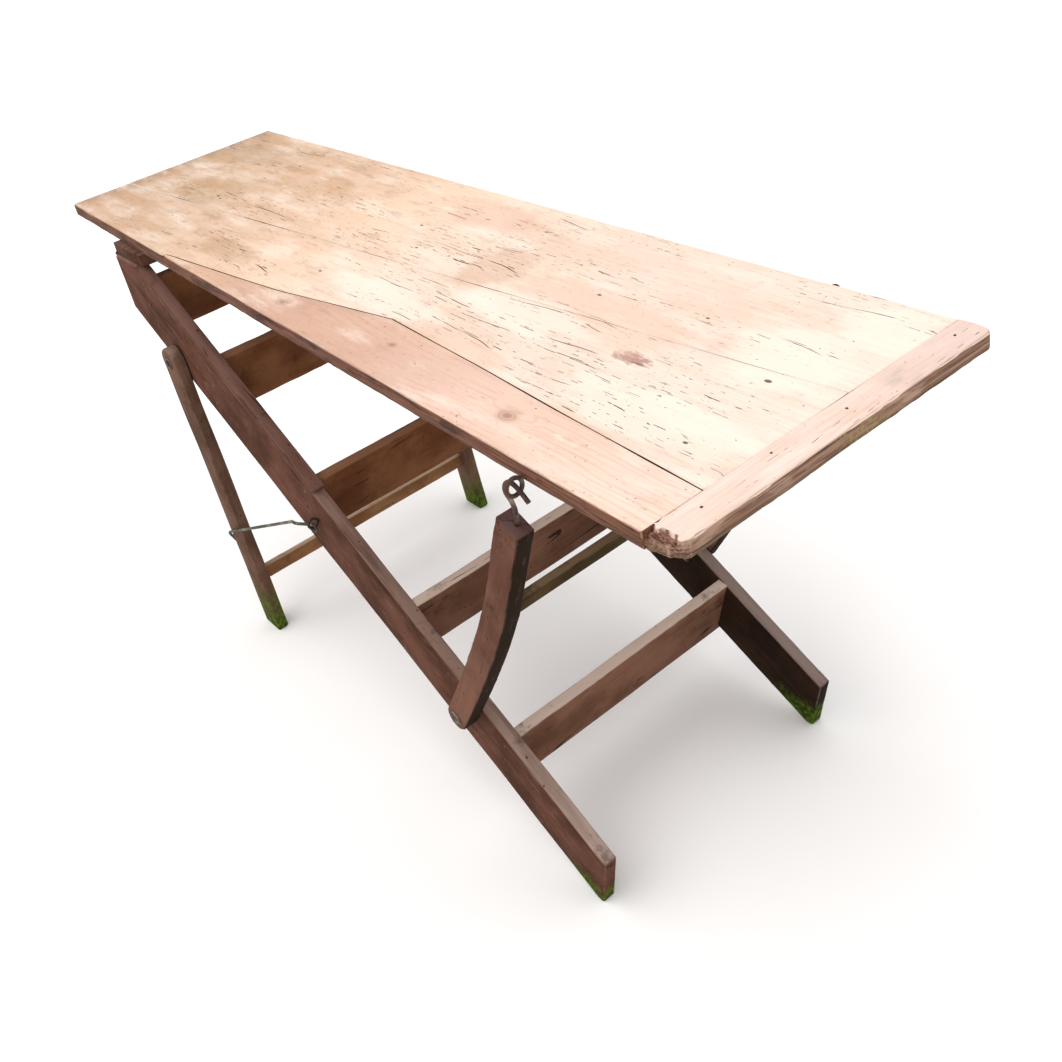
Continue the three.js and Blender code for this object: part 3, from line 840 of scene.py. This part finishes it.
def makeBreadboard(spec):
    bm = slabFrom("top_breadboard_end", 2, 1)
    soften(bm, spec["edge"], lambda e: min(v.co.x for v in e.verts) > spec["joint"], 3)
    slices(bm, (0, 1, 0), spec["along"])
    slices(bm, (1, 0, 0), spec["across"])
    slices(bm, (0, 0, 1), spec["through"])
    for _ in range(2):
        corner = [f for f in bm.faces if f.calc_center_median().y < spec["corner"]]
        edges = list(dict.fromkeys(e for f in corner for e in f.edges))
        bmesh.ops.subdivide_edges(bm, edges=edges, cuts=1, use_grid_fill=True)
    weather(bm, spec, spec["seed"])
    layer = bm.verts.layers.float.new("broken")
    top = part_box("top_breadboard_end")[1].z
    for vert in bm.verts:
        # the broken corner has lost its upper half in steps along the grain
        share = chipShare(vert.co, spec)
        step = round(noise.noise(Vector((vert.co.x * 150, vert.co.y * 40, 3))) * 3) / 3
        floorLevel = top - spec["chipDeep"] * (0.75 + 0.3 * step)
        if vert.co.z > floorLevel:
            vert.co.z += (floorLevel - vert.co.z) * share
            vert[layer] = share
        if vert.co.y < spec["corner"]:
            rough = noise.noise_vector(vert.co * 170) * 0.0011
            vert.co += rough * clamped((spec["corner"] - vert.co.y) * 60)
    finishPiece(bm, "breadboard_wood", "bread", "top", ("top_breadboard_end",), 30)


makeBreadboard(breadShape)


# sawn pieces of the frame
def makeSawn(node, outer, look, body, way, spec, seed):
    bm = slabFrom(node, 1, outer)
    soften(bm, spec["edge"])
    over = Vector((0, 0, 1)) if abs(way[1]) > 0.5 else Vector((0, 1, 0)).cross(Vector(way))
    slices(bm, way, spec["along"])
    slices(bm, over, spec["across"])
    weather(bm, spec, seed)
    finishPiece(bm, node + "_wood", look, body, (node,))


def headed(angle):
    return (math.cos(angle), 0, math.sin(angle))


acrossWay = (0, 1, 0)
railWay, legWay, strutWay = headed(railAngle), headed(legAngle), headed(strutAngle)
sawn = {
    "rail": {"edge": 0.0026, "along": 0.016, "across": 0.03, "dent": 0.0016, "nick": 0.005, "bend": 0.0009},
    "strip": {"edge": 0.0016, "along": 0.014, "across": 0.02, "dent": 0.001, "nick": 0.0025, "bend": 0.0005},
    "board": {"edge": 0.0018, "along": 0.016, "across": 0.024, "dent": 0.001, "nick": 0.003, "bend": 0.0008},
    "leg": {"edge": 0.003, "along": 0.014, "across": 0.018, "dent": 0.0016, "nick": 0.004, "bend": 0.0009},
    "strut": {"edge": 0.0026, "along": 0.012, "across": 0.014, "dent": 0.0014, "nick": 0.004, "bend": 0.0007},
    "bar": {"edge": 0.002, "along": 0.014, "across": 0.012, "dent": 0.001, "nick": 0.003, "bend": 0.0007},
}
for side, outer, shift in (("near", -1, 0.6), ("far", 1, 3.1)):
    railLook = "rail" + side.title()
    makeSawn("rail_" + side, outer, railLook, "ladder", railWay, sawn["rail"], shift)
    makeSawn("rail_strip_" + side, outer, "strip", "ladder", railWay, sawn["strip"], shift + 5)
    makeSawn("leg_" + side, outer, "leg", "legs", legWay, sawn["leg"], shift + 9)
    makeSawn("strut_" + side, outer, "strut", "struts", strutWay, sawn["strut"], shift + 12)
for i in range(5):
    # the three upper boards take the painted-shade copy of the board look
    boardLook = "board" if i > 2 else "upperBoard"
    makeSawn(f"crossboard_{i}", -1, boardLook, "ladder", acrossWay, sawn["board"], 20 + i)
makeSawn("leg_crossbar", -1, "legBar", "legs", acrossWay, sawn["bar"], 31)
makeSawn("strut_crossbar", -1, "strutBar", "struts", acrossWay, sawn["bar"], 33)
makeSawn("top_batten", -1, "batten", "top", acrossWay, sawn["board"], 35)
print("wood made")


# ironwork: rounds is the number of subdivisions
ironShapes = {
    "top_eye": {"look": "rubbedIron", "body": "top", "bend": 0.0002, "rounds": 1, "smooth": 60},
    "rail_eye": {"look": "iron", "body": "ladder", "bend": 0.00015, "rounds": 1, "smooth": 60},
    "strut_hook": {"look": "rubbedIron", "body": "struts", "bend": 0.0003, "rounds": 1, "smooth": 60},
    "leg_hook": {"look": "rod", "body": "leg_hook_{}", "bend": 0.0003, "rounds": 1, "smooth": 60},
    "hinge_ladder_leaf": {"look": "iron", "body": "ladder", "bend": 0.0001, "rounds": 0, "smooth": 35},
    "hinge_top_leaf": {"look": "iron", "body": "top", "bend": 0.0001, "rounds": 0, "smooth": 35},
    "hinge_pin": {"look": "iron", "body": "ladder", "bend": 0.00005, "rounds": 0, "smooth": 40},
}


def forged(kind, side, spec):
    node = f"{kind}_{side}"
    bm = bmesh.new()
    bm.from_mesh(nodes[node].data)
    bmesh.ops.remove_doubles(bm, verts=bm.verts, dist=weld)
    bmesh.ops.dissolve_degenerate(bm, edges=bm.edges, dist=1e-5)
    for vert in bm.verts:
        vert.co += noise.noise_vector(vert.co * 120) * spec["bend"]
    body = spec["body"].format(side)
    finishPiece(bm, node + "_forged", spec["look"], body, (node,), spec["smooth"], spec["rounds"])


for side in ("near", "far"):
    for kind, spec in ironShapes.items():
        forged(kind, side, spec)

boltShape = {
    "leg_pivot_pin": {"head": 0.0085, "body": "legs"},
    "strut_bolt": {"head": 0.0095, "body": "struts"},
}


def boltProfile(head, tip, root, sign):
    # (radius, y) points of the domed head, washer, shank and clenched end
    seat = tip - sign * 0.0042
    return [
        (0, tip),
        (head * 0.4, tip - sign * 0.0003),
        (head * 0.75, tip - sign * 0.0014),
        (head * 0.92, tip - sign * 0.0026),
        (head * 0.94, seat + sign * 0.0008),
        (head + 0.0035, seat + sign * 0.0007),
        (head + 0.004, seat + sign * 0.0002),
        (head + 0.0035, seat - sign * 0.0002),
        (0.005, seat - sign * 0.0002),
        (0.005, root + sign * 0.004),
        (0.008, root + sign * 0.0038),
        (0.0078, root + sign * 0.0016),
        (0.004, root + sign * 0.0002),
        (0, root),
    ]


def makeBolt(node, sign, spec):
    # the profile turned about a line along y
    low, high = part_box(node)
    tip, root = (low.y, high.y) if sign < 0 else (high.y, low.y)
    centre = Vector(((low.x + high.x) / 2, 0, (low.z + high.z) / 2))
    bm = bmesh.new()
    line = [bm.verts.new((centre.x + r, y, centre.z)) for r, y in boltProfile(spec["head"], tip, root, sign)]
    edges = [bm.edges.new(pair) for pair in zip(line, line[1:])]
    turning = {"axis": (0, 1, 0), "dvec": (0, 0, 0), "angle": math.tau, "steps": 32, "use_merge": True}
    bmesh.ops.spin(bm, geom=line + edges, cent=centre, **turning)
    bmesh.ops.remove_doubles(bm, verts=bm.verts, dist=1e-5)
    bmesh.ops.recalc_face_normals(bm, faces=bm.faces)
    for vert in bm.verts:
        vert.co += noise.noise_vector(vert.co * 160) * 0.00025
    finishPiece(bm, node + "_forged", "rubbedIron", spec["body"], (node,), 50)


for kind, spec in boltShape.items():
    for side, sign in (("near", -1), ("far", 1)):
        makeBolt(f"{kind}_{side}", sign, spec)
print("iron made")

# nails and screws
headShapes = {
    "nail": {"radius": 0.0032, "proud": 0.0007, "sides": 12},
    "topNail": {"radius": 0.0022, "proud": 0.0003, "sides": 12},
    "screw": {"radius": 0.0034, "proud": 0.0006, "sides": 16},
}
headDepth = 0.0022


def nailHeads(name, places, body, spec):
    # low domed heads, each at a place and facing a way
    bm = bmesh.new()
    radius = spec["radius"]
    size = {"segments": spec["sides"], "radius1": radius, "radius2": radius * 0.72, "depth": headDepth}
    lift = Matrix.Translation((0, 0, spec["proud"] - headDepth / 2))
    for at, way in places:
        turn = Vector(way).to_track_quat("Z", "Y").to_matrix().to_4x4()
        seat = Matrix.Translation(Vector(at)) @ turn
        made = bmesh.ops.create_cone(bm, cap_ends=True, matrix=seat @ lift, **size)
        for vert in made["verts"]:
            vert.co += noise.noise_vector(vert.co * 300) * 0.0003
    finishPiece(bm, name, "iron", body, (), 50)


outerY = abs(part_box("rail_near")[0].y)
ladderNails = []
for i in range(5):
    low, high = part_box(f"crossboard_{i}")
    for share in (0.22, 0.55, 0.84):
        z = low.z + (high.z - low.z) * share
        x = low.x + 0.01 + (high.x - low.x - 0.02) * share
        for sign in (-1, 1):
            ladderNails.append(((x, sign * outerY, z), (0, sign, 0)))
nailHeads("ladder_nails", ladderNails, "ladder", headShapes["nail"])

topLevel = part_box("top_middle_plank")[1].z
battenX = sum(c.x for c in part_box("top_batten")) / 2
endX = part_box("top_breadboard_end")[0].x + 0.014
# (x of the row, how far its nails stagger, their y)
nailRows = (
    (battenX, 0.006, (-0.2, -0.13, -0.04, 0.06, 0.13, 0.19)),
    (endX, 0.004, (-0.19, -0.08, 0.03, 0.14, 0.22)),
)
topNails = []
for rowX, stagger, row in nailRows:
    for i, y in enumerate(row):
        topNails.append(((rowX + stagger * (-1) ** i, y, topLevel), (0, 0, 1)))
nailHeads("top_nails", topNails, "top", headShapes["topNail"])

leafScrews = {
    "hinge_top_leaf_": {"body": "top", "shares": (0.74,)},
    "hinge_ladder_leaf_": {"body": "ladder", "shares": (0.12, 0.42, 0.7)},
}
leafThick = 0.0022
for leaf, spec in leafScrews.items():
    screws = []
    for side in ("near", "far"):
        low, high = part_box(leaf + side)
        for share in spec["shares"]:
            y = (low.y + high.y) / 2 + 0.002 * math.sin(share * 40)
            screws.append(((high.x - leafThick, y, low.z + (high.z - low.z) * share), (-1, 0, 0)))
    nailHeads(leaf + "screws", screws, spec["body"], headShapes["screw"])
print("nails made")


# floor and light
floorShape = {"size": 14, "tones": (tint("#f9f8f7"), tint("#fcfbfb")), "rough": 0.9}


def stageFloor(spec):
    bm = bmesh.new()
    bmesh.ops.create_grid(bm, x_segments=1, y_segments=1, size=spec["size"])
    mesh = bpy.data.meshes.new("floor")
    bm.to_mesh(mesh)
    bm.free()
    finish = Finish("floor_paint")
    at = finish.place()
    tone = finish.mix(finish.noise(at, (3, 3, 3), 3), *spec["tones"])
    grit = finish.noise(at, (20, 20, 20), 2)
    mesh.materials.append(finish.close(tone, spec["rough"], grit, strength=0.02, depth=0.0005))
    floor = bpy.data.objects.new("floor", mesh)
    bpy.context.scene.collection.objects.link(floor)


lamps = {
    "key": {"from": (-0.45, -0.75, 1.7), "spread": 60, "strength": 1.05, "colour": (1.0, 0.975, 0.95)},
    "back": {"from": (0.6, 1.2, 1.3), "spread": 90, "strength": 0.35, "colour": (0.96, 0.98, 1.0)},
}


def makeLamps(spec):
    for name, lamp in spec.items():
        data = bpy.data.lights.new(name, "SUN")
        data.angle, data.energy, data.color = math.radians(lamp["spread"]), lamp["strength"], lamp["colour"]
        seat = bpy.data.objects.new(name, data)
        seat.location = Vector(lamp["from"]) * 2
        seat.rotation_euler = Vector(lamp["from"]).to_track_quat("Z", "Y").to_euler()
        bpy.context.scene.collection.objects.link(seat)


stageFloor(floorShape)
makeLamps(lamps)
sky = {"colour": (1.0, 0.99, 0.98, 1), "strength": 1.0}
world = bpy.data.worlds.new("sky")
world.use_nodes = True
world.node_tree.nodes["Background"].inputs["Color"].default_value = sky["colour"]
world.node_tree.nodes["Background"].inputs["Strength"].default_value = sky["strength"]
bpy.context.scene.world = world
bpy.context.scene.view_settings.view_transform = "Standard"
print("stage set")
